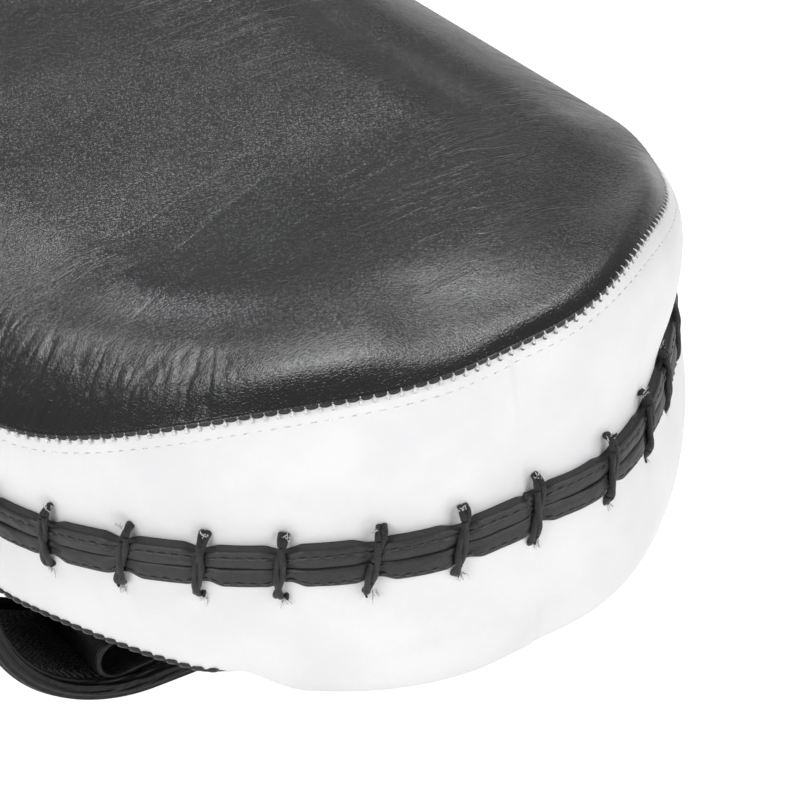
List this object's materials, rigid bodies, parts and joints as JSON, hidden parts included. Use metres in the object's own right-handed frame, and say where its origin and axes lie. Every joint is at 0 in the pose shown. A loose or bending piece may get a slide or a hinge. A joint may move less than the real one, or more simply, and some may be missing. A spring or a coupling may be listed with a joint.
{
  "type": "kick pad",
  "caption": "Curved martial arts strike pad with laced leather cushions, forearm straps that open and a padded hand grip on its back.",
  "frame": {"origin": "centre of the footprint on the surface that the closed straps rest on", "axes": "+Z out of the strike face, +Y along the pad from the elbow end to the hand end, +X across the pad"},
  "size_m": [0.2028, 0.4128, 0.138],
  "materials": {
    "black_leather": "semi-gloss pebbled, rolled shoulders",
    "white_leather": "smooth satin white with fine wrinkles",
    "binding_leather": "smooth bound edge",
    "waxed_cord": "twisted waxed cord",
    "strap_webbing": "satin ribbed webbing",
    "hook_tape": "moulded hooks on woven tape",
    "loop_tape": "brushed loop pile",
    "foam": "closed-cell foam",
    "board": "stiff polyethylene sheet",
    "lining_fabric": "woven lining",
    "rivet_metal": "burnished"
  },
  "bodies": {
    "pad": {"face_cover": "black_leather", "strike_foam": "foam", "front_core_foam": "foam", "upper_gusset": "white_leather", "upper_lining": "lining_fabric", "upper_binding": "binding_leather", "lower_binding": "binding_leather", "lower_lining": "lining_fabric", "lower_gusset": "white_leather", "back_core_foam": "foam", "back_board": "board", "back_panel": "black_leather", "lacing_ties": "waxed_cord", "forearm_cushion_cover": "black_leather", "forearm_cushion_foam": "foam", "grip_tab_left": "black_leather", "grip_tab_right": "black_leather", "grip_rivets": "rivet_metal", "near_under_strap": "strap_webbing", "near_loop_tape": "loop_tape", "near_anchor_left": "black_leather", "near_anchor_right": "black_leather", "far_under_strap": "strap_webbing", "far_loop_tape": "loop_tape", "far_anchor_left": "black_leather", "far_anchor_right": "black_leather"},
    "grip": {"grip_core": "foam", "grip_cover": "black_leather"},
    "near_strap": {"near_strap_leg": "strap_webbing", "near_leg_hook_tape": "hook_tape"},
    "near_tail": {"near_strap_tail": "strap_webbing", "near_tail_hook_tape": "hook_tape", "near_pull_tab": "black_leather"},
    "far_strap": {"far_strap_leg": "strap_webbing", "far_leg_hook_tape": "hook_tape"},
    "far_tail": {"far_strap_tail": "strap_webbing", "far_tail_hook_tape": "hook_tape", "far_pull_tab": "black_leather"}
  },
  "joints": [
    {"name": "near_strap_swing", "type": "hinge", "parent": "pad", "child": "near_strap", "pos_m": [-0.0935, -0.07, 0.0635], "axis": [0, 1, 0], "range_deg": [0, 75]},
    {"name": "near_tail_peel", "type": "hinge", "parent": "near_strap", "child": "near_tail", "pos_m": [-0.05, -0.07, 0], "axis": [0, 1, 0], "range_deg": [0, 130]},
    {"name": "far_strap_swing", "type": "hinge", "parent": "pad", "child": "far_strap", "pos_m": [-0.0935, 0.035, 0.0635], "axis": [0, 1, 0], "range_deg": [0, 75]},
    {"name": "far_tail_peel", "type": "hinge", "parent": "far_strap", "child": "far_tail", "pos_m": [-0.05, 0.035, 0], "axis": [0, 1, 0], "range_deg": [0, 130]},
    {"name": "grip_rock", "type": "hinge", "parent": "pad", "child": "grip", "pos_m": [0, 0.104, 0.0481], "axis": [1, 0, 0], "range_deg": [-25, 25]}
  ]
}
